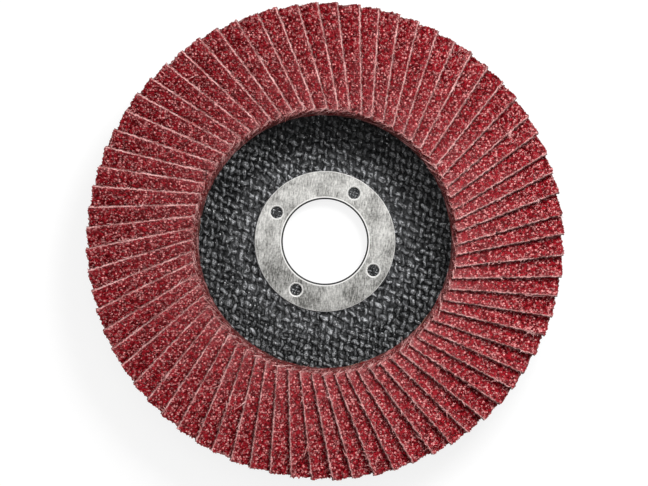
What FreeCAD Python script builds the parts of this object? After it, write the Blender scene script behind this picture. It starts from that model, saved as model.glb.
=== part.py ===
import FreeCAD
import Part

import math
import os

from FreeCAD import Vector

# Flap disc, 125 mm, for an angle grinder with a 22.23 mm spindle flange.
# Abrasive flaps lean on each other like fanned cards. Their feet stand in a bed of bonding resin
# on a dished plate of glass-fibre laminate, and a pressed steel ring lines the plate's bore.
# The origin is on the bore's axis at the plate's back face. +Z points out of the working face.
# Lengths are millimetres and angles are degrees.

BORE_DIAMETER = 22.23

# Bore ring: one pressing of steel sheet, with a flange in front and a collar through the bore
RING_SHEET = 0.8
FLANGE_WIDTH = 7.385  # from the bore to the flange's rim
FLANGE_SINK = 0.3  # how deep the flange is pressed into the laminate
FLANGE_RIM_CHAMFER = 0.15
BORE_CHAMFER = 0.4
COLLAR_BACKSET = 0.2  # from the plate's back face to the collar's end

# Anchor holes: pierced midway across the flange, with burrs that bite into the laminate
ANCHOR_COUNT = 4
ANCHOR_AZIMUTH = 59.0
ANCHOR_HOLE_DIAMETER = 3.1
ANCHOR_HOLE_CHAMFER = 0.25
BURR_WALL = 0.35
BURR_LENGTH = 0.7
CORE_RISE = 0.15  # laminate squeezed up inside each hole, above the flange's underside

# Backing plate: moulded laminate of one thickness, dished so that the clamp nut stays recessed
PLATE_THICKNESS = 2.8
HUB_MARGIN = 4.0  # flat hub beyond the ring's flange
DISH_DEPTH = 5.0
DISH_WALL_RUN = 10.2  # from the hub out to the seat, measured along the radius
DISH_FLOOR_ROUND = 2.5
RIM_CHAMFER = 0.4
RIM_SETBACK = 5.0  # from the flaps' tips in to the plate's rim, which must never rub the work

# Resin bed: the ring of adhesive on the seat that the flaps' feet are set in
BED_DEPTH = 1.2
BED_MARGIN = 0.2  # bare seat on either side of the bed
BED_FILM = 0.2  # resin left under a flap's foot

# Flaps: strips of abrasive cloth cut to one size
FLAP_COUNT = 72
FLAP_LENGTH = 28.26
FLAP_WIDTH = 18.0
FLAP_THICKNESS = 0.9
FLAP_INSET = 0.4  # from the bed's inner edge to the flaps' inner ends
FLAP_GAP = 0.26  # between neighbours at their inner ends, measured square to the cloth
FREE_EDGE_OFFSET = 10.8  # how far a flap's free edge passes the axis, seen from the front
FIRST_FLAP_AZIMUTH = 1.45
FLAPS_PER_NODE = 2

TOOL_MARGIN = 1.0  # how far a punch runs past the metal

# Bore ring, worked out from the bore outwards
BORE_RADIUS = BORE_DIAMETER / 2
COLLAR_RADIUS = BORE_RADIUS + RING_SHEET
FLANGE_RADIUS = BORE_RADIUS + FLANGE_WIDTH
FLANGE_UNDERSIDE = PLATE_THICKNESS - FLANGE_SINK
FLANGE_FACE = FLANGE_UNDERSIDE + RING_SHEET
ANCHOR_HOLE_RADIUS = ANCHOR_HOLE_DIAMETER / 2
ANCHOR_CIRCLE_RADIUS = (BORE_RADIUS + FLANGE_RADIUS) / 2
BURR_RADIUS = ANCHOR_HOLE_RADIUS + BURR_WALL
BURR_TIP = FLANGE_UNDERSIDE - BURR_LENGTH

# Dish: radii of its two bends as if they were sharp, and the slope of the wall between them
HUB_RADIUS = FLANGE_RADIUS + HUB_MARGIN
MOUTH_RADIUS = HUB_RADIUS + DISH_WALL_RUN
WALL_SLOPE = math.atan2(DISH_DEPTH, DISH_WALL_RUN)
SEAT_HEIGHT = PLATE_THICKNESS + DISH_DEPTH

# Flaps: they fan out, so they are tightest at their inner ends, and lean just enough there for
# the neighbour to fit under. The tip of a free edge is the furthest point from the axis.
BED_INNER_RADIUS = MOUTH_RADIUS + BED_MARGIN
FLAP_PITCH = 360.0 / FLAP_COUNT
FLAP_ROOT = BED_INNER_RADIUS + FLAP_INSET
ROOT_STEP = FLAP_ROOT * math.sin(math.radians(FLAP_PITCH))
FLAP_LEAN = math.asin((FLAP_THICKNESS + FLAP_GAP) / ROOT_STEP)
DISC_RADIUS = math.hypot(FLAP_ROOT + FLAP_LENGTH, FREE_EDGE_OFFSET)

# Rim of the plate, under the flaps, and the bed's outer edge inside the rim's chamfer
PLATE_RADIUS = DISC_RADIUS - RIM_SETBACK
BED_OUTER_RADIUS = PLATE_RADIUS - RIM_CHAMFER - BED_MARGIN

AXIS_FOOT = Vector(0, 0, 0)
AXIS = Vector(0, 0, 1)


def rounded_face(corners):
    """Face in the XZ plane through corners (x, z, round), each turned by an arc of that radius."""
    points = [Vector(x, 0, z) for x, z, radius in corners]
    bends = []
    for i, corner in enumerate(points):
        radius = corners[i][2]
        if radius == 0:
            bends.append((corner, corner, None))
            continue
        back = (points[i - 1] - corner).normalize()
        ahead = (points[(i + 1) % len(points)] - corner).normalize()
        half_angle = back.getAngle(ahead) / 2
        setback = radius / math.tan(half_angle)
        inward = (back + ahead).normalize()
        start = corner + back * setback
        middle = corner + inward * (radius / math.sin(half_angle) - radius)
        end = corner + ahead * setback
        bends.append((start, end, Part.Arc(start, middle, end).toShape()))
    edges = []
    for i, (start, end, arc) in enumerate(bends):
        if arc is not None:
            edges.append(arc)
        next_start = bends[(i + 1) % len(bends)][0]
        edges.append(Part.LineSegment(end, next_start).toShape())
    return Part.Face(Part.Wire(edges))


def turned(corners):
    """Solid of revolution about the disc's axis, from a rounded outline in the XZ plane."""
    return rounded_face(corners).revolve(AXIS_FOOT, AXIS, 360)


def anchor_places():
    """Centres of the anchor holes, on the plane of the plate's back face."""
    azimuths = [ANCHOR_AZIMUTH + i * 360.0 / ANCHOR_COUNT for i in range(ANCHOR_COUNT)]
    angles = [math.radians(azimuth) for azimuth in azimuths]
    return [Vector(math.cos(a), math.sin(a), 0) * ANCHOR_CIRCLE_RADIUS for a in angles]


def bore_ring():
    """Flange and collar, with pierced holes, each chamfered in front and burred behind."""
    ring = turned(
        [
            (BORE_RADIUS, COLLAR_BACKSET, 0),
            (COLLAR_RADIUS, COLLAR_BACKSET, 0),
            (COLLAR_RADIUS, FLANGE_UNDERSIDE, 0),
            (FLANGE_RADIUS, FLANGE_UNDERSIDE, 0),
            (FLANGE_RADIUS, FLANGE_FACE - FLANGE_RIM_CHAMFER, 0),
            (FLANGE_RADIUS - FLANGE_RIM_CHAMFER, FLANGE_FACE, 0),
            (BORE_RADIUS + BORE_CHAMFER, FLANGE_FACE, 0),
            (BORE_RADIUS, FLANGE_FACE - BORE_CHAMFER, 0),
        ]
    )
    burr = Part.makeCylinder(BURR_RADIUS, BURR_LENGTH, Vector(0, 0, BURR_TIP))
    punch = turned(
        [
            (0, BURR_TIP - TOOL_MARGIN, 0),
            (ANCHOR_HOLE_RADIUS, BURR_TIP - TOOL_MARGIN, 0),
            (ANCHOR_HOLE_RADIUS, FLANGE_FACE - ANCHOR_HOLE_CHAMFER, 0),
            (ANCHOR_HOLE_RADIUS + ANCHOR_HOLE_CHAMFER, FLANGE_FACE, 0),
            (ANCHOR_HOLE_RADIUS + ANCHOR_HOLE_CHAMFER, FLANGE_FACE + TOOL_MARGIN, 0),
            (0, FLANGE_FACE + TOOL_MARGIN, 0),
        ]
    )
    for place in anchor_places():
        ring = ring.fuse(burr.translated(place)).cut(punch.translated(place))
    return ring.removeSplitter()


def backing_plate():
    """Dished plate, moulded round the ring's collar, flange and burrs."""
    # The back follows the front at one thickness, so both of its bends lie further out, and the
    # hub's heel is rounded about the same centre as the dish's floor.
    back_shift = PLATE_THICKNESS * math.tan(WALL_SLOPE / 2)
    plate = turned(
        [
            (COLLAR_RADIUS, 0, 0),
            (HUB_RADIUS + back_shift, 0, DISH_FLOOR_ROUND + PLATE_THICKNESS),
            (MOUTH_RADIUS + back_shift, DISH_DEPTH, 0),
            (PLATE_RADIUS - RIM_CHAMFER, DISH_DEPTH, 0),
            (PLATE_RADIUS, DISH_DEPTH + RIM_CHAMFER, 0),
            (PLATE_RADIUS, SEAT_HEIGHT - RIM_CHAMFER, 0),
            (PLATE_RADIUS - RIM_CHAMFER, SEAT_HEIGHT, 0),
            (MOUTH_RADIUS, SEAT_HEIGHT, 0),
            (HUB_RADIUS, PLATE_THICKNESS, DISH_FLOOR_ROUND),
            (FLANGE_RADIUS, PLATE_THICKNESS, 0),
            (FLANGE_RADIUS, FLANGE_UNDERSIDE, 0),
            (COLLAR_RADIUS, FLANGE_UNDERSIDE, 0),
        ]
    )
    for place in anchor_places():
        foot = place + Vector(0, 0, BURR_TIP)
        burr_print = Part.makeCylinder(BURR_RADIUS, BURR_LENGTH, foot)
        core = Part.makeCylinder(ANCHOR_HOLE_RADIUS, BURR_LENGTH + CORE_RISE, foot)
        plate = plate.cut(burr_print).fuse(core)
    return plate.removeSplitter()


def flap(azimuth):
    """One leaning strip: its section, from foot to free edge, carried from its root to its tip."""
    across_flap = Vector(0, -math.cos(FLAP_LEAN), math.sin(FLAP_LEAN)) * FLAP_WIDTH
    through_cloth = Vector(0, math.sin(FLAP_LEAN), math.cos(FLAP_LEAN)) * FLAP_THICKNESS
    foot_offset = FLAP_WIDTH * math.cos(FLAP_LEAN) - FREE_EDGE_OFFSET
    foot = Vector(FLAP_ROOT, foot_offset, SEAT_HEIGHT + BED_FILM)
    lip = foot + across_flap
    section = Part.makePolygon([foot, lip, lip + through_cloth, foot + through_cloth, foot])
    strip = Part.Face(section).extrude(Vector(FLAP_LENGTH, 0, 0))
    strip.rotate(AXIS_FOOT, AXIS, azimuth)
    return strip


def resin_bed(flaps):
    """Ring of set resin on the seat, with the print of every flap's foot in it."""
    bed_foot = Vector(0, 0, SEAT_HEIGHT)
    outside = Part.makeCylinder(BED_OUTER_RADIUS, BED_DEPTH, bed_foot)
    inside = Part.makeCylinder(BED_INNER_RADIUS, BED_DEPTH, bed_foot)
    return outside.cut(inside).cut(Part.makeCompound(flaps))


flaps = [flap(FIRST_FLAP_AZIMUTH + i * FLAP_PITCH) for i in range(FLAP_COUNT)]
nodes = {
    "bore_ring": bore_ring(),
    "backing_plate": backing_plate(),
    "resin_bed": resin_bed(flaps),
}
for first in range(0, FLAP_COUNT, FLAPS_PER_NODE):
    group = flaps[first : first + FLAPS_PER_NODE]
    nodes[f"flap_pair_{first // FLAPS_PER_NODE + 1:02d}"] = Part.makeCompound(group)

os.makedirs("parts", exist_ok=True)
for name, shape in nodes.items():
    shape.exportStep(f"parts/{name}.step")

flap_top = max(strip.BoundBox.ZMax for strip in flaps)
print(f"disc diameter {2 * DISC_RADIUS:.3f} mm, height {flap_top:.3f} mm")
print(f"flaps lean {math.degrees(FLAP_LEAN):.2f} degrees")
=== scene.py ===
import math

import bpy
import numpy as np
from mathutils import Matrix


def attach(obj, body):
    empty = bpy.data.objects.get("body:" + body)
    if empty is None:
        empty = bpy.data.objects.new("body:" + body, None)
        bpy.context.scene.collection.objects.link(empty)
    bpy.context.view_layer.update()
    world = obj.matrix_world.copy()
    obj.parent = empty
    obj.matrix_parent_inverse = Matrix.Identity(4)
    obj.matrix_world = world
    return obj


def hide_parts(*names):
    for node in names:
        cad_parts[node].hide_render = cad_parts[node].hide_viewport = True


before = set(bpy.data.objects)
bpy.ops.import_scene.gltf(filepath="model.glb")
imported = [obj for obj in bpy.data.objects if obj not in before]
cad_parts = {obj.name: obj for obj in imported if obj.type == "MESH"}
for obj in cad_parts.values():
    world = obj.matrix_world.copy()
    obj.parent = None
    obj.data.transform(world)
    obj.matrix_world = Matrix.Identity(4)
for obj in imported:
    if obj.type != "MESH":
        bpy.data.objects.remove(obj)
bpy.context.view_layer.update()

# Backing plate: a dish moulded from woven glass cloth in black resin, one thickness all over.
# The hot mould squeezes the resin flush, so the yarns stand up through a glossy skin in front
# and behind, while the rim is left as it was trimmed, with the edges of its plies showing.
COLLAR_SEAT = 11.915
FLANGE_SEAT = 18.5
PLATE_THICKNESS = 2.8
HUB_RADIUS = 22.5
MOUTH_RADIUS = 32.7
DISH_DEPTH = 5.0
SEAT_HEIGHT = PLATE_THICKNESS + DISH_DEPTH
PLATE_RADIUS = 57.5
RIM_CHAMFER = 0.4
RECESS_FLOOR = 2.5
FLOOR_ROUND = 2.5
PLATE_SECTORS = 640
PLY_THICKNESS = 0.56
ROW_PITCH = 2.19
ROW_DIRECTION = math.radians(-23.5)
COLUMN_PITCH = 1.69
COLUMN_DIRECTION = math.radians(82.7)
YARN_WIDTH = 0.74  # share of the pitch that a yarn's crown takes
YARN_RELIEF = 0.46
ANCHOR_RADIUS = 14.81
ANCHOR_AZIMUTHS = np.radians([59, 149, 239, 329])
CORE_RINGS = [1.53, 1.53, 1.2, 0.8, 0.4]
CORE_TOP = 2.58
CORE_FOOT = RECESS_FLOOR - 0.2
WOVEN_FACING = 0.3  # the weave shows where the normal's upright part is larger
PLAIN_MARGIN = 0.3  # smooth border beside the ring's seats
RESIN_BLACK = (0.0030, 0.0034, 0.0038, 1)
YARN_GREY = (0.720, 0.735, 0.760, 1)
RESIN_PAINTED_GLINT = (0.82, 0.83, 0.84, 1)


def ripple(x, y, size, seed):
    """Smooth random field of about unit spread: the sum of sixteen plane waves of random
    direction and phase, whose lengths are near the given size."""
    rng = np.random.default_rng(seed)
    turn, phase = rng.uniform(0, 2 * np.pi, (2, 16))
    number = 2 * np.pi / (size * rng.uniform(0.7, 1.5, 16))
    across = np.asarray(x)[..., None] * number * np.cos(turn)
    along = np.asarray(y)[..., None] * number * np.sin(turn)
    return np.sin(across + along + phase).sum(-1) / 8**0.5


def weave_places(x, y, seed):
    """Places in the weave of points on the plate: how many rows and how many columns of yarn lie
    between each and the axis. Both drift smoothly across the dish, and wander a little from one
    crossing to the next, as the cloth was pulled into the mould."""
    rows = (y * math.cos(ROW_DIRECTION) - x * math.sin(ROW_DIRECTION)) / ROW_PITCH
    columns = (x * math.sin(COLUMN_DIRECTION) - y * math.cos(COLUMN_DIRECTION)) / COLUMN_PITCH
    rows = rows + 0.16 * ripple(x, y, 19, seed) + 0.08 * ripple(x, y, 3.0, seed + 1)
    columns = columns + 0.16 * ripple(x, y, 16, seed + 2) + 0.10 * ripple(x, y, 2.6, seed + 3)
    return rows, columns


def woven_height(rows, columns):
    """Height of a plain weave, 0 to 1: rows and columns of yarns with parabolic crowns. A yarn
    rises and dips as a cosine along its length, and the higher of the two yarns shows."""
    row, column = np.floor(rows), np.floor(columns)
    row_crown = np.clip(1 - ((2 * (rows - row) - 1) / YARN_WIDTH) ** 2, 0, 1)
    column_crown = np.clip(1 - ((2 * (columns - column) - 1) / YARN_WIDTH) ** 2, 0, 1)
    row_rise = 0.5 + 0.5 * np.cos(np.pi * (columns - 0.5 + row))
    column_rise = 0.5 - 0.5 * np.cos(np.pi * (rows - 0.5 + column))
    return np.maximum(row_crown * row_rise, column_crown * column_rise)


def rounded_outline(corners):
    """Outline through corners (r, z, round, step): each bend is an arc of its radius, tangent to
    both runs, and the run after a corner is divided at about its step."""
    place = np.array([c[:2] for c in corners])
    ahead = np.roll(place, -1, 0) - place
    length = np.linalg.norm(ahead, axis=1)
    ahead = ahead / length[:, None]
    behind = np.roll(ahead, 1, 0)
    sideways = behind[:, 0] * ahead[:, 1] - behind[:, 1] * ahead[:, 0]
    bend = np.arctan2(sideways, (behind * ahead).sum(1))
    cut = np.array([c[2] for c in corners]) * np.tan(np.abs(bend) / 2)
    runs = []
    for i, (r, z, radius, step) in enumerate(corners):
        if radius:
            tangent = place[i] - behind[i] * cut[i]
            centre = tangent + np.sign(bend[i]) * radius * np.array([-behind[i][1], behind[i][0]])
            start = np.arctan2(*(tangent - centre)[::-1])
            arc_steps = max(3, int(radius * abs(bend[i]) / step))
            turn = start + bend[i] * np.linspace(0, 1, arc_steps)
            runs.append(centre + radius * np.stack([np.cos(turn), np.sin(turn)], -1)[:-1])
        left = length[i] - cut[i] - cut[(i + 1) % len(corners)]
        run_steps = max(1, round(left / step))
        share = np.arange(run_steps) / run_steps
        runs.append(place[i] + ahead[i] * (cut[i] + left * share)[:, None])
    return np.concatenate(runs)


def grid_quads(rows, columns, rows_closed):
    """Quads over a grid of points that closes on itself along its columns, and along its rows
    too if asked. They face along the cross product of the row and the column direction."""
    row = np.arange(rows if rows_closed else rows - 1)[:, None]
    column = np.arange(columns)[None, :]
    ahead, beside = (row + 1) % rows, (column + 1) % columns
    corners = [(row, column), (ahead, column), (ahead, beside), (row, beside)]
    return np.stack([r * columns + c for r, c in corners], -1).reshape(-1, 4)


def surface_piece(name, points, faces, replaced):
    """Object at the origin whose mesh has these points, given in millimetres, and these faces."""
    mesh = bpy.data.meshes.new(name)
    mesh.from_pydata((points * 0.001).tolist(), [], faces)
    piece = bpy.data.objects.new(name, mesh)
    bpy.context.scene.collection.objects.link(piece)
    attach(piece, "root")
    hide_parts(*replaced)
    return piece


def give_value(piece, name, values):
    """Stores one number or vector for each of a piece's vertices, for its material to read."""
    values = np.asarray(values, np.float32)
    kind, field = ("FLOAT", "value") if values.ndim == 1 else ("FLOAT_VECTOR", "vector")
    piece.data.attributes.new(name, kind, "POINT").data.foreach_set(field, values.ravel())


def fill(tree, made, inputs):
    """Gives named or numbered inputs of a node their values, or links where sockets are given."""
    for key, value in inputs.items():
        if isinstance(value, bpy.types.NodeSocket):
            tree.links.new(value, made.inputs[key])
        else:
            made.inputs[key].default_value = value
    return made


def node(tree, kind, inputs=None, **settings):
    """Adds a node to a tree, with its settings and inputs."""
    made = tree.nodes.new("ShaderNode" + kind)
    for key, value in settings.items():
        setattr(made, key, value)
    return fill(tree, made, inputs or {})


def calc(tree, operation, first, second=0.0, third=0.0):
    """Output of a Math node."""
    inputs = {0: first, 1: second, 2: third}
    return node(tree, "Math", inputs, operation=operation).outputs[0]


def product(tree, first, *others):
    """Product of two or more values."""
    for other in others:
        first = calc(tree, "MULTIPLY", first, other)
    return first


def between(tree, factor, low, high):
    """Colour mixed from low to high by a factor."""
    inputs = {0: factor, 6: low, 7: high}
    return node(tree, "Mix", inputs, data_type="RGBA").outputs[2]


def span(tree, value, low, high, new_low=0.0, new_high=1.0):
    """Value carried from one range to another, and held within it."""
    inputs = {0: value, 1: low, 2: high, 3: new_low, 4: new_high}
    return node(tree, "MapRange", inputs).outputs[0]


def vector(tree, operation, first, second=(0, 0, 0)):
    """Vector Math node."""
    return node(tree, "VectorMath", {0: first, 1: second}, operation=operation)


def parts_of(tree, place):
    """The three coordinates of a place."""
    return node(tree, "SeparateXYZ", {0: place}).outputs


def cells(tree, place, density):
    """Random cells, this many to a millimetre: the distance from the middle of each, and two
    random tones."""
    made = node(tree, "TexVoronoi", {"Vector": place, "Scale": density, "Randomness": 1.0})
    tones = node(tree, "SeparateColor", {0: made.outputs["Color"]}).outputs
    return made.outputs["Distance"], tones[0], tones[1]


def new_material(name):
    """Material with its tree and Object coordinates in millimetres."""
    material = bpy.data.materials.new(name)
    material.use_nodes = True
    tree = material.node_tree
    place = node(tree, "TexCoord").outputs["Object"]
    scaled = node(tree, "Mapping", {"Vector": place, "Scale": (1000, 1000, 1000)})
    return material, tree, scaled.outputs[0]


def feed_shader(tree, inputs, relief, depth, strength, **bump_inputs):
    """Sets or links inputs of the material's Principled shader, and gives it the normal of a
    bump with this relief, whose depth is in metres."""
    bump_inputs.update({"Height": relief, "Distance": depth, "Strength": strength})
    bump = node(tree, "Bump", bump_inputs)
    fill(tree, tree.nodes["Principled BSDF"], {**inputs, "Normal": bump.outputs[0]})


def new_group(name, inputs, outputs):
    """Empty node group with its named sockets, and its input and output nodes."""
    group = bpy.data.node_groups.new(name, "ShaderNodeTree")
    for label, kind in inputs:
        group.interface.new_socket(label, in_out="INPUT", socket_type=kind)
    for label, kind in outputs:
        group.interface.new_socket(label, in_out="OUTPUT", socket_type=kind)
    return group, group.nodes.new("NodeGroupInput"), group.nodes.new("NodeGroupOutput")


def grouped(tree, group, inputs):
    """Outputs of a node group placed in a tree."""
    made = tree.nodes.new("ShaderNodeGroup")
    made.node_tree = group
    return fill(tree, made, inputs).outputs


# Strands: fine parallel lines of uneven strength, as filaments in a yarn or brush marks in metal.
strands, given, put_out = new_group(
    "strands",
    [("Place", "NodeSocketVector"), ("Turn", "NodeSocketVector"), ("Length", "NodeSocketVector")],
    [("Mask", "NodeSocketFloat")],
)
turned = node(
    strands,
    "VectorRotate",
    {"Vector": given.outputs["Place"], "Rotation": given.outputs["Turn"]},
    rotation_type="EULER_XYZ",
)
drawn = vector(strands, "DIVIDE", turned.outputs[0], given.outputs["Length"])
lines = node(strands, "TexNoise", {"Vector": drawn.outputs[0], "Scale": 1.0, "Detail": 4.0})
strands.links.new(lines.outputs["Fac"], put_out.inputs["Mask"])

# Mottle: soft uneven patches, as of dust, resin or wear.
mottle, given, put_out = new_group(
    "mottle",
    [("Place", "NodeSocketVector"), ("Size", "NodeSocketFloat"), ("Contrast", "NodeSocketFloat")],
    [("Mask", "NodeSocketFloat")],
)
density = calc(mottle, "DIVIDE", 1.0, given.outputs["Size"])
patches = {"Vector": given.outputs["Place"], "Scale": density, "Detail": 5.0}
patches = node(mottle, "TexNoise", patches).outputs["Fac"]
centred = calc(mottle, "SUBTRACT", patches, 0.5)
stronger = calc(mottle, "MULTIPLY_ADD", centred, given.outputs["Contrast"], 0.5)
mottle.links.new(node(mottle, "Clamp", {0: stronger}).outputs[0], put_out.inputs["Mask"])

# Plain weave: the height of woven_height at a place given as columns and rows of yarn, and a
# random tone for each crossing.
plain_weave, given, put_out = new_group(
    "plain_weave",
    [("Columns", "NodeSocketFloat"), ("Rows", "NodeSocketFloat")],
    [("Height", "NodeSocketFloat"), ("Tone", "NodeSocketFloat")],
)
columns, rows = given.outputs["Columns"], given.outputs["Rows"]
yarns = []
for across, along, sign in ((rows, columns, 0.5), (columns, rows, -0.5)):
    middle = calc(plain_weave, "MULTIPLY_ADD", calc(plain_weave, "FRACT", across), 2.0, -1.0)
    aside = calc(plain_weave, "DIVIDE", middle, YARN_WIDTH)
    fallen = product(plain_weave, aside, aside)
    crown = node(plain_weave, "Clamp", {0: calc(plain_weave, "SUBTRACT", 1.0, fallen)}).outputs[0]
    halfway = calc(plain_weave, "SUBTRACT", along, 0.5)
    phase = calc(plain_weave, "ADD", halfway, calc(plain_weave, "FLOOR", across))
    wave = calc(plain_weave, "COSINE", product(plain_weave, phase, math.pi))
    rise = calc(plain_weave, "MULTIPLY_ADD", wave, sign, 0.5)
    yarns.append(product(plain_weave, crown, rise))
plain_weave.links.new(calc(plain_weave, "MAXIMUM", *yarns), put_out.inputs["Height"])
crossing = [calc(plain_weave, "FLOOR", count) for count in (columns, rows)]
crossing = node(plain_weave, "CombineXYZ", dict(enumerate(crossing))).outputs[0]
dice = node(plain_weave, "TexWhiteNoise", {"Vector": crossing}, noise_dimensions="2D")
plain_weave.links.new(dice.outputs["Value"], put_out.inputs["Tone"])

slope = math.atan2(DISH_DEPTH, MOUTH_RADIUS - HUB_RADIUS)
shift = PLATE_THICKNESS * math.tan(slope / 2)
outline = rounded_outline(
    [
        (COLLAR_SEAT, RECESS_FLOOR, 0, 2.2),
        (FLANGE_SEAT, RECESS_FLOOR, 0, 1.0),
        (FLANGE_SEAT, PLATE_THICKNESS, 0, 0.25),
        (HUB_RADIUS, PLATE_THICKNESS, FLOOR_ROUND, 0.25),
        (MOUTH_RADIUS, SEAT_HEIGHT, 0, 4.0),
        (PLATE_RADIUS - RIM_CHAMFER, SEAT_HEIGHT, 0, 0.4),
        (PLATE_RADIUS, SEAT_HEIGHT - RIM_CHAMFER, 0, 0.22),
        (PLATE_RADIUS, DISH_DEPTH + RIM_CHAMFER, 0, 0.4),
        (PLATE_RADIUS - RIM_CHAMFER, DISH_DEPTH, 0, 0.8),
        (MOUTH_RADIUS + shift, DISH_DEPTH, 0, 0.7),
        (HUB_RADIUS + shift, 0, FLOOR_ROUND + PLATE_THICKNESS, 0.7),
        (COLLAR_SEAT, 0, 0, 1.3),
    ]
)
# The plate turned about its axis. Relief sinks each point along the outline's normal: by the
# weave in front and behind, and by the plies' edges round the rim. Hidden seats stay plain.
radius, level = outline.T
run = np.roll(outline, -1, 0) - np.roll(outline, 1, 0)
normal = np.stack([-run[:, 1], run[:, 0]], -1) / np.linalg.norm(run, axis=1)[:, None]
azimuth = np.arange(PLATE_SECTORS) * 2 * np.pi / PLATE_SECTORS
x, y = radius[:, None] * np.cos(azimuth), radius[:, None] * np.sin(azimuth)
in_front = (normal[:, 1] > WOVEN_FACING) & (radius > FLANGE_SEAT + PLAIN_MARGIN)
in_front &= radius < MOUTH_RADIUS + 0.1
behind = (normal[:, 1] < -WOVEN_FACING) & (radius > COLLAR_SEAT + PLAIN_MARGIN)
behind &= radius < PLATE_RADIUS - 0.5
facing_back = (normal[:, 1] < 0)[:, None]
rows, columns = np.where(facing_back, weave_places(x, -y, 23), weave_places(x, y, 11))
woven = (in_front | behind)[:, None]
height = np.where(woven, woven_height(rows, columns) * (0.86 + 0.07 * ripple(x, y, 5, 3)), 1)
rim = radius > PLATE_RADIUS - 0.05
ply_phase = level[:, None] * 2 * np.pi / PLY_THICKNESS + 0.5 * ripple(x, y, 9, 5)
plies = 0.55 + 0.3 * np.cos(ply_phase) + 0.12 * ripple(x, y + 7 * level[:, None], 1.2, 6)
height[rim] = plies[rim]
depth = YARN_RELIEF * (1 - np.clip(height, 0, 1)) * np.where(rim, 0.5, 1)[:, None]
sunk_r = radius[:, None] - normal[:, :1] * depth
sunk_z = level[:, None] - normal[:, 1:] * depth
points = np.stack([sunk_r * np.cos(azimuth), sunk_r * np.sin(azimuth), sunk_z], -1)
faces = grid_quads(len(outline), PLATE_SECTORS, True).tolist()
# Laminate squeezed up inside the ring's four anchor holes: shallow discs of uneven height.
spokes = np.radians(np.arange(0, 360, 15))
core_r, core_a = np.meshgrid(CORE_RINGS, spokes, indexing="ij")
cores = []
for n, turn in enumerate(ANCHOR_AZIMUTHS):
    core_x = ANCHOR_RADIUS * math.cos(turn) + core_r * np.cos(core_a)
    core_y = ANCHOR_RADIUS * math.sin(turn) + core_r * np.sin(core_a)
    core_z = CORE_TOP + 0.05 * ripple(core_x, core_y, 1.1, 40 + n)
    core_z[0] = CORE_FOOT
    cores.append(np.stack([core_x, core_y, core_z], -1).reshape(-1, 3))
    first = points[..., 0].size + n * core_r.size
    faces += (grid_quads(*core_r.shape, False)[:, ::-1] + first).tolist()
    faces.append((first + core_r.size - spokes.size + np.arange(spokes.size)).tolist())
    faces.append((first + np.arange(spokes.size))[::-1].tolist())
cores = np.concatenate(cores)
points = np.concatenate([points.reshape(-1, 3), cores])
plate = surface_piece("laminate_plate", points, faces, ["backing_plate"])
plate.data.polygons.foreach_set("use_smooth", [True] * len(plate.data.polygons))
weave = np.stack([columns, rows, woven * np.ones_like(x)], -1).reshape(-1, 3)
core_weave = cores[:, :2] @ [[1.3, 0.4], [-0.5, 1.2]]
core_weave = np.column_stack([core_weave, np.ones(len(cores))])
give_value(plate, "weave", np.concatenate([weave, core_weave]))

# Finish: black resin over grey glass. The crowns of the yarns are worn paler, each crossing to
# its own degree, and filaments show through them along both yarn directions. Painted light: the
# flat hub round the ring is painted paler than the dish wall, as a painted reflection of the light
# above, the wall at the top of the picture is painted darker as painted shade, and small pale
# sparks are painted glints of the glossy resin.
laminate, tree, place = new_material("glass_laminate")
weave = node(tree, "Attribute", attribute_name="weave").outputs["Vector"]
weave = parts_of(tree, weave)
height, crossing = grouped(tree, plain_weave, {"Columns": weave[0], "Rows": weave[1]})
yarn_lines = {"Place": place, "Turn": (0, 0, -ROW_DIRECTION), "Length": (1.5, 0.34, 0.4)}
row_lines = grouped(tree, strands, yarn_lines)[0]
yarn_lines = {"Place": place, "Turn": (0, 0, -COLUMN_DIRECTION), "Length": (1.4, 0.34, 0.4)}
column_lines = grouped(tree, strands, yarn_lines)[0]
filaments = calc(tree, "MAXIMUM", row_lines, column_lines)
stains = grouped(tree, mottle, {"Place": place, "Size": 1.5, "Contrast": 3.2})[0]
from_axis = vector(tree, "LENGTH", place).outputs["Value"]
# Painted reflection: the flat hub round the ring is painted paler than the dish wall, as it faces
# the light above.
hub_painted_light = span(tree, from_axis, 23.0, 27.0, 1.0, 0.0)
shown = product(
    tree,
    span(tree, height, 0.29, 0.68),
    span(tree, crossing, 0.1, 0.8, 0.40, 1.0),
    span(tree, stains, 0.2, 0.7, 0.55, 1.0),
    span(tree, filaments, 0.50, 0.65, 0.13, 1.0),
    span(tree, hub_painted_light, 0.0, 1.0, 0.66, 1.0),
)
# Painted reflection: the hub keeps at least a faint paleness all over.
hub_painted_sheen = product(tree, hub_painted_light, span(tree, stains, 0.2, 0.8, 0.02, 0.07))
shown = calc(tree, "MAXIMUM", shown, hub_painted_sheen)
# Painted shade: the wall at the top of the picture is painted darker.
shown = product(tree, shown, span(tree, parts_of(tree, place)[1], 20.0, 27.0, 1.0, 0.42))
# Painted highlight: small pale sparks, painted glints of the glossy resin.
from_middle, chance, _ = cells(tree, place, 2.4)
glint_chance = span(tree, chance, 0.80, 0.97)
painted_resin_glint = product(tree, glint_chance, span(tree, from_middle, 0.5, 0.2), span(tree, height, 0.2, 0.7))
skin = between(tree, shown, RESIN_BLACK, YARN_GREY)
relief = calc(tree, "MULTIPLY_ADD", stains, 0.25, height)
feed_shader(
    tree,
    {
        "Base Color": between(tree, painted_resin_glint, skin, RESIN_PAINTED_GLINT),
        "Roughness": span(tree, stains, 0.2, 0.8, 0.14, 0.36),
        "Specular IOR Level": 0.30,
    },
    relief=calc(tree, "MULTIPLY_ADD", filaments, 0.35, relief),
    depth=0.0005,
    strength=1.0,
)
plate.data.materials.append(laminate)
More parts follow.
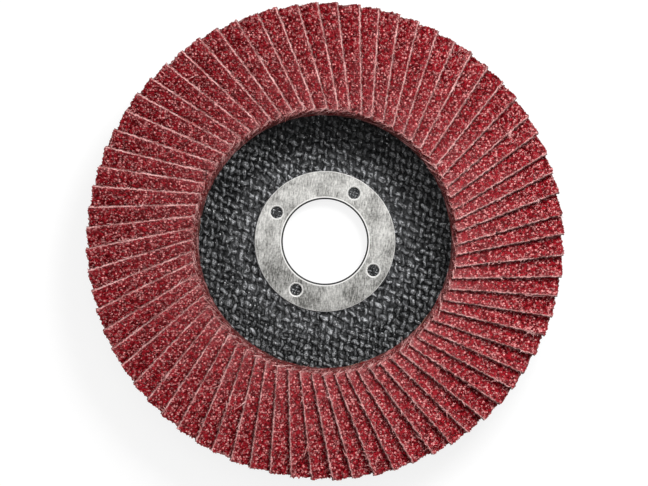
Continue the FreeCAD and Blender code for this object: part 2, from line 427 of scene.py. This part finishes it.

# Bore ring: pressed steel sheet, zinc plated. The sheet was brushed in the coil, so its grain
# runs one way across the whole flange, with faint blotches left by handling. Its edges carry a
# painted highlight, pale and less metallic, and the bore's wall is painted dark as painted shade.
BORE_WALL = 11.46
COLLAR_EDGE = 11.9
FLANGE_EDGE = 18.25
HOLE_EDGE = 1.88
STEEL_DARK = (0.145, 0.143, 0.134, 1)
STEEL_LIGHT = (0.760, 0.750, 0.722, 1)
EDGE_PAINTED_HIGHLIGHT = (0.93, 0.925, 0.90, 1)
BORE_PAINTED_SHADE = (0.025, 0.025, 0.025, 1)
steel, tree, place = new_material("plated_steel")
brush_lines = {"Place": place, "Turn": (0, 0, 0.12), "Length": (0.30, 1.5, 1.5)}
brushed = grouped(tree, strands, brush_lines)[0]
brush_lines = {"Place": place, "Turn": (0, 0, 0.05), "Length": (0.14, 3.0, 3.0)}
fine_lines = grouped(tree, strands, brush_lines)[0]
blotches = grouped(tree, mottle, {"Place": place, "Size": 4.5, "Contrast": 2.6})[0]
specks = grouped(tree, mottle, {"Place": place, "Size": 0.45, "Contrast": 3.0})[0]
# Tone of the plating: weighted sum of streaks, fine lines, specks and blotches. It is painted
# darker towards the lower side of the picture, as painted shade.
tone = product(tree, fine_lines, 0.16)
tone = calc(tree, "MULTIPLY_ADD", span(tree, brushed, 0.30, 0.70), 0.34, tone)
tone = calc(tree, "MULTIPLY_ADD", specks, 0.20, tone)
tone = calc(tree, "MULTIPLY_ADD", blotches, 0.32, tone)
ring_painted_shade = span(tree, parts_of(tree, place)[1], -17.0, 3.0, -0.150, 0.0)
face = span(tree, calc(tree, "ADD", tone, ring_painted_shade), 0.20, 0.72)
face = between(tree, face, STEEL_DARK, STEEL_LIGHT)
# Distances in the ring's plane: from its axis, and from the nearest anchor hole, whose centres
# lie on two crossed axes once the plane is turned by the first hole's azimuth.
flat = vector(tree, "MULTIPLY", place, (1, 1, 0)).outputs[0]
from_axis = vector(tree, "LENGTH", flat).outputs["Value"]
turning = {"Vector": flat, "Angle": -ANCHOR_AZIMUTHS[0]}
turned = node(tree, "VectorRotate", turning, rotation_type="Z_AXIS").outputs[0]
folded = parts_of(tree, vector(tree, "ABSOLUTE", turned).outputs[0])
outward = calc(tree, "MAXIMUM", folded[0], folded[1])
outward = calc(tree, "SUBTRACT", outward, ANCHOR_RADIUS)
aside = calc(tree, "MINIMUM", folded[0], folded[1])
from_hole = calc(tree, "MULTIPLY_ADD", outward, outward, product(tree, aside, aside))
from_hole = calc(tree, "SQRT", from_hole)
# Painted highlight: pale, less metallic bands along the rims of the flange, the holes and the
# bore.
outer_edge = span(tree, from_axis, FLANGE_EDGE, FLANGE_EDGE + 0.15)
hole_edge = span(tree, from_hole, HOLE_EDGE + 0.14, HOLE_EDGE)
bore_edge = span(tree, from_axis, COLLAR_EDGE, COLLAR_EDGE - 0.2)
edges = calc(tree, "MAXIMUM", calc(tree, "MAXIMUM", outer_edge, hole_edge), bore_edge)
with_edge_highlight = between(tree, edges, face, EDGE_PAINTED_HIGHLIGHT)
# Painted shade: the bore's wall is painted dark.
in_bore_shade = span(tree, from_axis, BORE_WALL + 0.1, BORE_WALL)
feed_shader(
    tree,
    {
        "Base Color": between(tree, in_bore_shade, with_edge_highlight, BORE_PAINTED_SHADE),
        "Roughness": span(tree, tone, 0.2, 0.8, 0.55, 0.42),
        "Metallic": span(tree, edges, 0, 1, 1.0, 0.35),
    },
    relief=brushed,
    depth=0.00006,
    strength=0.5,
)
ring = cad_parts["bore_ring"]
for material_slot in ring.material_slots:
    material_slot.material = steel

# Resin bed: two-part adhesive poured on the seat before the flaps are pressed into it. It sets
# to a hard reddish brown, with an uneven shore inside the flaps and runs between their feet.
BED_SECTORS = 900
BED_FOOT = 7.75
BED_PROFILE = [
    (33.6, BED_FOOT),
    (33.25, BED_FOOT),
    (33.35, 8.55),
    (34.2, 8.9),
    (36, 9),
    (40, 9),
    (45, 9),
    (50, 9),
    (54, 9),
    (56.2, 8.95),
    (56.9, 8.6),
    (56.9, BED_FOOT),
]
SHORE_RADIUS = 33
SHORE_END = 35
SHORE_WIDTH = 1.75
RESIN_DARK = (0.064, 0.011, 0.009, 1)
RESIN_LIGHT = (0.31, 0.077, 0.059, 1)
# Ring of resin: a low closed profile of (radius, height), carried round the axis. Its inner shore
# wanders, and its top swells and sinks by smooth noise.
profile_r, profile_z = np.array(BED_PROFILE).T[..., None]
sweep = np.arange(BED_SECTORS) * 2 * np.pi / BED_SECTORS
shore_x, shore_y = SHORE_RADIUS * np.cos(sweep), SHORE_RADIUS * np.sin(sweep)
shore = 0.16 * ripple(shore_x, shore_y, 2.2, 31) + 0.10 * ripple(shore_x, shore_y, 0.8, 32)
swell = 0.22 * ripple(shore_x, shore_y, 1.7, 33)
at_shore = np.clip((SHORE_END - profile_r) / SHORE_WIDTH, 0, 1)
bed_r = profile_r + at_shore * np.clip(shore, -0.3, 0.5)
bed_z = profile_z - (profile_z > BED_FOOT) * at_shore * np.clip(0.25 + swell, 0, 0.7)
points = np.stack([bed_r * np.cos(sweep), bed_r * np.sin(sweep), bed_z], -1).reshape(-1, 3)
faces = grid_quads(len(BED_PROFILE), BED_SECTORS, True).tolist()
bed = surface_piece("bonding_resin", points, faces, ["resin_bed"])
bed.data.polygons.foreach_set("use_smooth", [True] * len(bed.data.polygons))
bond, tree, place = new_material("bond_resin")
runs = grouped(tree, mottle, {"Place": place, "Size": 0.55, "Contrast": 3.2})[0]
feed_shader(
    tree,
    {
        "Base Color": between(tree, runs, RESIN_DARK, RESIN_LIGHT),
        "Roughness": span(tree, runs, 0.2, 0.8, 0.62, 0.38),
    },
    relief=runs,
    depth=0.0004,
    strength=0.7,
)
bed.data.materials.append(bond)

# Flaps: strips sheared from abrasive cloth, a cotton twill with grain bonded to one face. They
# are fanned by a jig and lean on each other, so only a strip by each free edge shows. Shearing
# frays the cloth, which leaves a pale uneven line with stray fibres along every cut.
FLAP_COUNT = 72
FLAP_LENGTH = 28.26
FLAP_WIDTH = 18.0
FLAP_THICKNESS = 0.9
FLAP_ROOT = 33.3
FOOT_HEIGHT = SEAT_HEIGHT + 0.2
FREE_EDGE_OFFSET = 10.8
FLAP_LEAN = math.radians(23.56)
FIRST_FLAP_AZIMUTH = math.radians(1.45)
GROUND_RADIUS = 62.4  # the finished disc is trued to it
GRAIN_RELIEF = 0.15
HIDDEN_FROM = 7  # grain further in from the free edge lies under the neighbour, and stays plain
STATIONS = 97
FLAP_SEED = 700
FIBRE_STATIONS = 5
FIBRE_SIDES = 4
FIBRE_SIZE = FIBRE_STATIONS * FIBRE_SIDES
FIBRE_TOP = 15.95
FIBRE_REACH = 62.3
GRAIN_BLOOD = (0.100, 0.0012, 0.0030, 1)
GRAIN_RED = (0.370, 0.0115, 0.0210, 1)
GRAIN_PAINTED_GLINT = (0.995, 0.400, 0.395, 1)
DUST_MAUVE = (0.490, 0.106, 0.118, 1)
CUT_CLOTH = (0.998, 0.560, 0.545, 1)
CUT_SHADE = (0.455, 0.105, 0.100, 1)
ROOT_RED = (0.150, 0.010, 0.011, 1)
BACK_LIGHT = (0.300, 0.130, 0.085, 1)
BACK_DARK = (0.120, 0.042, 0.030, 1)

# Section of a flap as a closed loop: distance in from the free edge, and height in the cloth.
# The grain face comes first, then the foot, the back of the cloth and the sheared edge.
grain_in = np.concatenate([[0.17, 0.36], 0.6 + 0.3 * np.arange(20), [8.2, 10.6, 13, 15.5, 18]])
back_in = np.array([18, 15, 12, 9, 6, 4, 2.5, 1.2, 0])
cut_in, cut_up = [0.0, 0.03], [0.34, 0.68]
LOOP_IN = np.concatenate([grain_in, back_in, cut_in])
LOOP_UP = np.concatenate([np.full(grain_in.size, FLAP_THICKNESS), np.zeros(back_in.size), cut_up])
LOOP = LOOP_IN.size
ON_GRAIN = np.arange(LOOP) < grain_in.size
ON_CUT = np.isin(np.arange(LOOP), [0, LOOP - 3, LOOP - 2, LOOP - 1])

SHARE = np.linspace(0, 1, STATIONS)[:, None]
STATION = SHARE * FLAP_LENGTH
# Width of the strip that its upper neighbour leaves bare, from root to tip
EXPOSED = (FLAP_ROOT + STATION) * math.tan(2 * math.pi / FLAP_COUNT) - 0.4
EXPOSED = EXPOSED / math.cos(FLAP_LEAN)


def ripple_along(size, seed):
    """Smooth random field read along the flap."""
    return ripple(STATION, 0 * STATION, size, seed)


def flap_points(number, rng):
    """Points of one flap, stations along its length by points round its section. Also returns
    each point's distance in from the free edge, and how far the tip is torn back at each point
    of the section. The section is carried straight out from the root. The grain face is sunk by
    a random amount at each point, and the free edge and both ends are frayed by random cuts. The
    strip is lowered towards its tip, leaned, turned a little, carried round the axis and trued to
    the ground radius, each flap by its own amounts."""
    seeds = rng.integers(1 << 30, size=4)  # the last one is spare
    length = FLAP_LENGTH + rng.uniform(0.09, 0.44) - rng.uniform(0, 0.010) * LOOP_IN
    along = FLAP_ROOT + SHARE * length
    inward = np.broadcast_to(LOOP_IN, along.shape).copy()
    up = np.broadcast_to(LOOP_UP, along.shape).copy()
    sunk = GRAIN_RELIEF * rng.random(along.shape)
    up -= np.where(ON_GRAIN & (LOOP_IN < HIDDEN_FROM), sunk, 0)
    bites = 0.04 + 0.08 * ripple_along(1.3, seeds[0]) + 0.12 * rng.random(STATION.shape)
    inward += np.clip(bites, 0, 0.36) * np.exp(-LOOP_IN / 0.5)
    inward += np.where(ON_CUT, rng.uniform(-0.02, 0.09, along.shape), 0)
    up += np.where(ON_CUT & (LOOP_UP > 0), rng.uniform(-0.08, 0.02, along.shape), 0)
    torn = 0.30 * rng.random(LOOP) + 0.30 * np.abs(ripple(LOOP_IN, LOOP_UP * 2, 1.1, seeds[1]))
    torn += rng.uniform(0, 0.16) * np.exp(-LOOP_IN / 0.5) + np.where(ON_GRAIN, 0, 0.35)
    along[-1] -= torn
    along[-2] -= 0.4 * torn
    along[0] += rng.uniform(-0.45, 0.05, LOOP)
    waves = np.minimum(0.05 * ripple(STATION, inward, 14, seeds[2]), 0)
    sag = waves - rng.uniform(0, 0.42) * SHARE
    up += sag * (1 - inward / FLAP_WIDTH)
    out = FLAP_WIDTH - inward
    y = FLAP_WIDTH * math.cos(FLAP_LEAN) - FREE_EDGE_OFFSET
    y = y - out * math.cos(FLAP_LEAN) + up * math.sin(FLAP_LEAN)
    z = FOOT_HEIGHT + out * math.sin(FLAP_LEAN) + up * math.cos(FLAP_LEAN)
    y = y + math.radians(rng.uniform(-0.3, 0.3)) * SHARE * (along - FLAP_ROOT)
    turn = FIRST_FLAP_AZIMUTH + math.radians(number * 360 / FLAP_COUNT + rng.uniform(-0.22, 0.22))
    x, y = along * math.cos(turn) - y * math.sin(turn), along * math.sin(turn) + y * math.cos(turn)
    trim = np.minimum(1, GROUND_RADIUS / np.hypot(x, y))
    return np.stack([x * trim, y * trim, z], -1), inward, torn


def fibre_points(strip, rng):
    """Loose fibres of one flap: square tubes along bent paths, thinning to their tips. Some start
    in a few tufts on the sheared edge, the others trail sideways from the root's end, and a few
    are long. Returns fibres by five stations by four corners, and how many there are."""
    outward = strip[STATIONS // 2, 0] - strip[STATIONS // 2, 8]
    outward = outward / np.linalg.norm(outward)
    lengthwise = strip[-7, 8] - strip[6, 8]
    lengthwise = lengthwise / np.linalg.norm(lengthwise)
    tufts = rng.integers(3, STATIONS - 3, rng.integers(2, 5))
    at_edge = np.repeat(tufts, rng.integers(1, 5, tufts.size))
    at_edge = np.clip(at_edge + rng.integers(-3, 4, at_edge.size), 0, STATIONS - 1)
    at_root = np.zeros(rng.integers(7, 12), int)
    station = np.concatenate([at_edge, at_root])
    count = station.size
    trailing = (np.arange(count) >= at_edge.size)[:, None]
    corner_at_root = rng.choice([LOOP - 2, LOOP - 1, 0, 1, 2, 3, 5], count)
    corner_at_edge = rng.choice([LOOP - 2, LOOP - 1, 0], count)
    corner = np.where(trailing[:, 0], corner_at_root, corner_at_edge)
    root = strip[station, corner] - 0.08 * outward
    edge_aim = outward * rng.uniform(0.2, 0.8, (count, 1))
    edge_aim = edge_aim + lengthwise * rng.normal(0, 0.9, (count, 1))
    root_aim = -outward * rng.normal(0.6, 1.2, (count, 1))
    root_aim = root_aim - lengthwise * rng.uniform(0.0, 0.25, (count, 1))
    aim = np.where(trailing, root_aim, edge_aim) + rng.normal(0, 0.08, (count, 3))
    aim *= np.where(rng.random((count, 1)) < 0.06, rng.uniform(1.8, 3.0, (count, 1)), 1)
    size = np.linalg.norm(aim, axis=1)[:, None]
    bend = rng.normal(0, 0.28, (count, 3)) * size * [1, 1, 0.5]
    share = np.linspace(0, 1, FIBRE_STATIONS)[None, :, None, None]
    path = root[:, None, None] + aim[:, None, None] * share + bend[:, None, None] * share**2
    side = np.cross(aim, [0.31, 0.12, 0.94])
    side /= np.linalg.norm(side, axis=1)[:, None]
    other = np.cross(aim, side) / size
    turn = np.arange(FIBRE_SIDES)[None, None, :, None] * 2 * np.pi / FIBRE_SIDES
    round_path = side[:, None, None] * np.cos(turn) + other[:, None, None] * np.sin(turn)
    tubes = path + round_path * rng.uniform(0.08, 0.18, (count, 1, 1, 1)) * (1.2 - share)
    tubes[..., 2] = np.minimum(tubes[..., 2], FIBRE_TOP)
    reach = np.linalg.norm(tubes[..., :2], axis=-1)[..., None]
    tubes[..., :2] *= np.minimum(1, FIBRE_REACH / reach)
    return tubes.reshape(-1, 3), count


def flap_masks(inward, torn, rng):
    """Three masks over the points of one flap, each 0 to 1.
    dusty: grinding dust, thickest by the free edge, towards the root and at the tip's corner.
    frayed: bare fibres, along the free edge in runs of their own, at the root's free corner and
    sparsely along both ends.
    stained, with painted shade: resin wicked up from the bed, which fades away from the root,
    and painted shade at the root that reaches furthest where the flap is buried under its
    neighbour; darker in the torn tip; in the cut, dirt in runs along its upper half and painted
    shade over its lower half."""
    depth = inward / EXPOSED
    dusty = 0.23 * np.clip(1 - depth / 0.45, 0, 1)
    dusty = dusty + 0.42 * (1 - SHARE) ** 2 * np.clip(1.8 - depth, 0, 1)
    dusty += 0.22 * np.exp(-inward / 1.5 - (1 - SHARE) * FLAP_LENGTH / 2.5)
    frizz = ripple_along(7.5, rng.integers(1 << 30))
    bare = rng.uniform(0.42, 0.88) + 0.30 * frizz
    bare = bare + 0.36 * ripple_along(2.4, rng.integers(1 << 30))
    bare = bare + rng.normal(0, 0.3, STATION.shape)
    frayed = np.where(LOOP_IN < 0.2, 1.16 - 0.50 * SHARE, 0.0) * np.clip(bare, 0, 1.2)
    second_row = np.where((LOOP_IN < 0.5) & (LOOP_IN > 0.2), 0.4, 0)
    frayed = frayed + second_row * np.clip(bare, 0, 1) * rng.random(inward.shape) ** 4
    corner = rng.uniform(0.2, 0.95) * np.exp(-inward / 0.9 - STATION / 1.1)
    frayed = np.maximum(frayed, corner * rng.random(inward.shape) ** 0.5)
    frayed[[0, -1]] = np.maximum(frayed[[0, -1]], 0.65 * rng.random((2, LOOP)) ** 2)
    # Resin stain from the bed, with painted shade: it is painted darker and further from the root
    # where the flap lies buried under its neighbour.
    buried = np.clip(depth - 0.4, 0, 1)
    stain_and_shade = np.clip(rng.normal(0.80, 0.35, inward.shape), 0, 1)
    stain_and_shade = stain_and_shade * np.exp(-STATION / (0.5 + 1.1 * buried))
    stain_and_shade *= np.where(ON_GRAIN, 0.30 + 0.70 * buried, 1)
    # The torn tip is darker.
    torn_darkening = np.clip(torn / 0.5, 0, 0.95) * rng.random((3, LOOP)) ** 0.5
    stain_and_shade[-3:] = torn_darkening * [[0.3], [0.7], [1]]
    # In the cut: dirt in runs along its upper half, and painted shade over its lower half, which
    # faces the gap under the free edge.
    low = LOOP_UP < 0.5
    soot_and_painted_shade = np.where(ON_CUT, np.where(low, 0.96, np.clip(0.34 - 0.5 * frizz, 0, 0.9)), 0)
    soot_and_painted_shade = soot_and_painted_shade * rng.random(inward.shape) ** np.where(low, 0.25, 1)
    return np.clip(dusty, 0, 0.85), np.clip(frayed, 0, 1), np.maximum(stain_and_shade, soot_and_painted_shade)


# Grain face: blocky red grains of many tones, with pink painted highlights on their tips and along
# crests where they heap up, dustier by the free edge. Fibres lie over it along the cut.
grain, tree, place = new_material("abrasive_grain")
dusty, frayed, stain_and_shade = [
    node(tree, "Attribute", attribute_name=name).outputs["Fac"]
    for name in ("dusty", "frayed", "stain_and_shade")
]
block_middle, block_tone, _ = cells(tree, place, 1.3)
chip_middle, chip_tone, tip_tone = cells(tree, place, 1.8)
red = calc(tree, "MULTIPLY_ADD", chip_tone, 0.6, product(tree, block_tone, 0.4))
red = between(tree, span(tree, red, 0.32, 0.70), GRAIN_BLOOD, GRAIN_RED)
patch = grouped(tree, mottle, {"Place": place, "Size": 3.5, "Contrast": 2.0})[0]
dust = product(tree, dusty, span(tree, patch, 0.2, 0.8, 0.35, 1.0))
red = between(tree, dust, red, DUST_MAUVE)
# Painted highlights: pink glints on the grains' tips and along the crests of their heaps.
tip = span(tree, chip_middle, 0.64, 0.34)
painted_grain_glint = product(tree, span(tree, tip_tone, 0.70, 0.92), tip)
heaps = {"Vector": place, "Scale": 1.1, "Detail": 1.0, "Distortion": 0.5}
heaps = node(tree, "TexNoise", heaps).outputs["Fac"]
ridge = calc(tree, "ABSOLUTE", calc(tree, "SUBTRACT", heaps, 0.5))
ridge = span(tree, ridge, 0.055, 0.010)
broken = grouped(tree, mottle, {"Place": place, "Size": 0.85, "Contrast": 4.0})[0]
painted_crest_glint = product(tree, ridge, 0.74, span(tree, broken, 0.36, 0.72))
red = between(tree, calc(tree, "MAXIMUM", painted_grain_glint, painted_crest_glint), red, GRAIN_PAINTED_GLINT)
# Resin stain, with painted shade where the flap is buried near the root.
red = between(tree, stain_and_shade, red, ROOT_RED)
relief = calc(tree, "MULTIPLY_ADD", chip_middle, -0.6, product(tree, block_middle, -0.8))
feed_shader(
    tree,
    {
        "Base Color": between(tree, frayed, red, CUT_CLOTH),
        "Roughness": span(tree, tip_tone, 0.4, 0.9, 0.78, 0.38),
        "Specular IOR Level": 0.03,
    },
    relief=calc(tree, "MULTIPLY_ADD", ridge, 0.3, relief),
    depth=0.0005,
    strength=1.0,
)

# Sheared edge: pale ends of the cotton, matted with resin. At the root's end the bed's resin has
# soaked in, in red crusts higher up and with painted shade lower down, except where loose fibres
# come free. The painted shade in the cut's lower half takes the same dark resin colour.
sheared, tree, place = new_material("sheared_cloth")
frayed, stain_and_shade = [
    node(tree, "Attribute", attribute_name=name).outputs["Fac"] for name in ("frayed", "stain_and_shade")
]
matted = grouped(tree, mottle, {"Place": place, "Size": 0.35, "Contrast": 3.0})[0]
soaked = grouped(tree, mottle, {"Place": place, "Size": 2.4, "Contrast": 2.8})[0]
pale = calc(tree, "MULTIPLY_ADD", matted, 0.55, product(tree, soaked, 0.45))
cut = between(tree, span(tree, pale, 0.25, 0.72), CUT_SHADE, CUT_CLOTH)
flat = vector(tree, "MULTIPLY", place, (1, 1, 0)).outputs[0]
at_root = span(tree, vector(tree, "LENGTH", flat).outputs["Value"], 35.2, 34.2)
# Painted shade: low on the root's end, near the bed, the red crusts give way to dark resin.
above_bed = span(tree, parts_of(tree, place)[2], 10.5, 14.5, 0.15, 1.0)
root_stain = product(tree, at_root, span(tree, frayed, 0.5, 0.95, 0.94, 0.28))
crust = grouped(tree, mottle, {"Place": place, "Size": 0.8, "Contrast": 4.0})[0]
crust = product(tree, crust, at_root, above_bed, span(tree, matted, 0.1, 0.6, 0.3, 1.0))
glue_and_shade = between(tree, crust, RESIN_DARK, ROOT_RED)
# The fuzz of a cut stands up, so it catches the light from above more than the cut itself does.
facing = node(tree, "NewGeometry").outputs["Normal"]
lifted = vector(tree, "ADD", facing, (0, 0, 1.1)).outputs[0]
feed_shader(
    tree,
    {
        "Base Color": between(tree, calc(tree, "MAXIMUM", stain_and_shade, root_stain), cut, glue_and_shade),
        "Roughness": 0.85,
        "Specular IOR Level": 0.3,
    },
    relief=matted,
    depth=0.0002,
    strength=0.7,
    Normal=vector(tree, "NORMALIZE", lifted).outputs[0],
)

# Back of the cloth: twill, sized with brown resin.
twill, tree, place = new_material("twill_back")
warp, weft = [
    grouped(tree, strands, {"Place": place, "Turn": (0, 0, turn), "Length": (3.0, 0.3, 0.3)})[0]
    for turn in (0.6, -0.97)
]
threads = span(tree, calc(tree, "MAXIMUM", warp, weft), 0.4, 0.7)
feed_shader(
    tree,
    {"Base Color": between(tree, threads, BACK_DARK, BACK_LIGHT), "Roughness": 0.8},
    relief=threads,
    depth=0.0001,
    strength=0.6,
)

# Faces of a flap, closed at both ends, and of a fibre, with the number of each face's material.
# A fibre's stations run the other way round its path, so its quads are turned over.
GRAIN_FACE, CUT_FACE, BACK_FACE = range(3)
flap_faces = grid_quads(STATIONS, LOOP, False).tolist()
flap_faces += [list(range(LOOP)), list(range((STATIONS - 1) * LOOP, STATIONS * LOOP))[::-1]]
column = np.tile(np.arange(LOOP), STATIONS - 1)
flap_finish = np.where(column < LOOP - 3, BACK_FACE, CUT_FACE)
flap_finish = np.where(column < grain_in.size - 1, GRAIN_FACE, flap_finish).tolist()
flap_finish += [CUT_FACE, CUT_FACE]
fibre_faces = grid_quads(FIBRE_STATIONS, FIBRE_SIDES, False)[:, [0, 3, 2, 1]].tolist()
fibre_faces += [list(range(FIBRE_SIDES))[::-1], list(range(FIBRE_SIZE - FIBRE_SIDES, FIBRE_SIZE))]

for pair in range(FLAP_COUNT // 2):
    rng = np.random.default_rng(FLAP_SEED + pair)
    points, faces, finish, masks = [], [], [], []
    first = 0
    for number in (2 * pair, 2 * pair + 1):
        strip, inward, torn = flap_points(number, rng)
        fibres, count = fibre_points(strip, rng)
        points += [strip.reshape(-1, 3), fibres]
        faces += [[corner + first for corner in face] for face in flap_faces]
        finish += flap_finish + [CUT_FACE] * (len(fibre_faces) * count)
        first += strip.size // 3
        for _ in range(count):
            faces += [[corner + first for corner in face] for face in fibre_faces]
            first += FIBRE_SIZE
        on_flap = np.stack(flap_masks(inward, torn, rng), -1).reshape(-1, 3)
        masks += [on_flap, np.tile([0.0, 1.0, 0.0], (FIBRE_SIZE * count, 1))]
    name, node_name = f"flaps_{pair + 1:02d}", f"flap_pair_{pair + 1:02d}"
    piece = surface_piece(name, np.concatenate(points), faces, [node_name])
    for material in (grain, sheared, twill):
        piece.data.materials.append(material)
    piece.data.polygons.foreach_set("material_index", finish)
    for mask_name, mask in zip(("dusty", "frayed", "stain_and_shade"), np.concatenate(masks).T):
        give_value(piece, mask_name, mask)

# Floor: white studio sweep, which the disc lies on by its hub.
FLOOR_REACH = 4
PAPER_GREY = (0.245, 0.245, 0.245, 1)
PAPER_GLOW = 0.81
floor_mesh = bpy.data.meshes.new("floor")
corners = np.array([(-1, -1, 0), (1, -1, 0), (1, 1, 0), (-1, 1, 0)]) * FLOOR_REACH
floor_mesh.from_pydata(corners.tolist(), [], [(0, 1, 2, 3)])
floor = bpy.data.objects.new("floor", floor_mesh)
bpy.context.scene.collection.objects.link(floor)
paper = bpy.data.materials.new("white_paper")
paper.use_nodes = True
tree = paper.node_tree
tree.nodes.remove(tree.nodes["Principled BSDF"])
light_path = node(tree, "LightPath")
seen = calc(
    tree, "MAXIMUM", light_path.outputs["Is Camera Ray"], light_path.outputs["Is Glossy Ray"]
)
seen = calc(tree, "MAXIMUM", seen, light_path.outputs["Is Transmission Ray"])
matt = node(tree, "BsdfDiffuse", {"Color": PAPER_GREY})
glow = {"Color": (1, 1, 1, 1), "Strength": product(tree, seen, PAPER_GLOW)}
glow = node(tree, "Emission", glow)
both = node(tree, "AddShader", {0: matt.outputs[0], 1: glow.outputs[0]})
tree.links.new(both.outputs[0], tree.nodes["Material Output"].inputs["Surface"])
floor_mesh.materials.append(paper)

# Light: a bright room, lighter towards the top of the picture, a soft key from its upper right,
# and a wide panel overhead.
ROOM_LIGHT = (0.305, 0.510)  # towards the lower and the upper side of the picture
world = bpy.data.worlds.new("studio")
world.use_nodes = True
bpy.context.scene.world = world
tree = world.node_tree
light_path = node(tree, "LightPath")
room = tree.nodes["Background"]
room.inputs["Color"].default_value = (1.0, 1.0, 1.0, 1)
towards = parts_of(tree, node(tree, "TexCoord").outputs["Generated"])
lit = span(tree, towards[1], -0.8, 0.8, *ROOM_LIGHT)
strength = calc(tree, "MAXIMUM", lit, light_path.outputs["Is Camera Ray"])
tree.links.new(strength, room.inputs["Strength"])


def panel(name, size, power, location):
    """Soft square lamp that points at the disc."""
    data = bpy.data.lights.new(name, "AREA")
    data.shape = "SQUARE"
    data.size = size
    data.energy = power
    lamp = bpy.data.objects.new(name, data)
    lamp.location = location
    aim = -np.array(location)
    tilt = math.atan2(math.hypot(aim[0], aim[1]), -aim[2])
    lamp.rotation_euler = (tilt, 0, math.atan2(aim[1], aim[0]) - math.pi / 2)
    lamp.visible_camera = False
    bpy.context.scene.collection.objects.link(lamp)


panel("key_lamp", 0.20, 2.05, (0.195, 0.288, 0.355))
panel("overhead_panel", 1.0, 3.52, (-0.25, 0.35, 1.6))

# Camera: straight above the disc, far enough that the dish shows no slant.
CAMERA_DISTANCE = 1.2
FRAME_WIDTH = 0.1687
FRAME_MIDDLE = (-0.00026, -0.00042)
FRAME_LEVEL = 0.015  # the height at which the frame has its width
SENSOR_WIDTH = 36.0
camera_data = bpy.data.cameras.new("camera")
camera_data.sensor_width = SENSOR_WIDTH
camera_data.lens = SENSOR_WIDTH * CAMERA_DISTANCE / FRAME_WIDTH
camera = bpy.data.objects.new("camera", camera_data)
camera.location = (*FRAME_MIDDLE, FRAME_LEVEL + CAMERA_DISTANCE)
bpy.context.scene.collection.objects.link(camera)
bpy.context.scene.camera = camera
bpy.context.scene.view_settings.view_transform = "Standard"
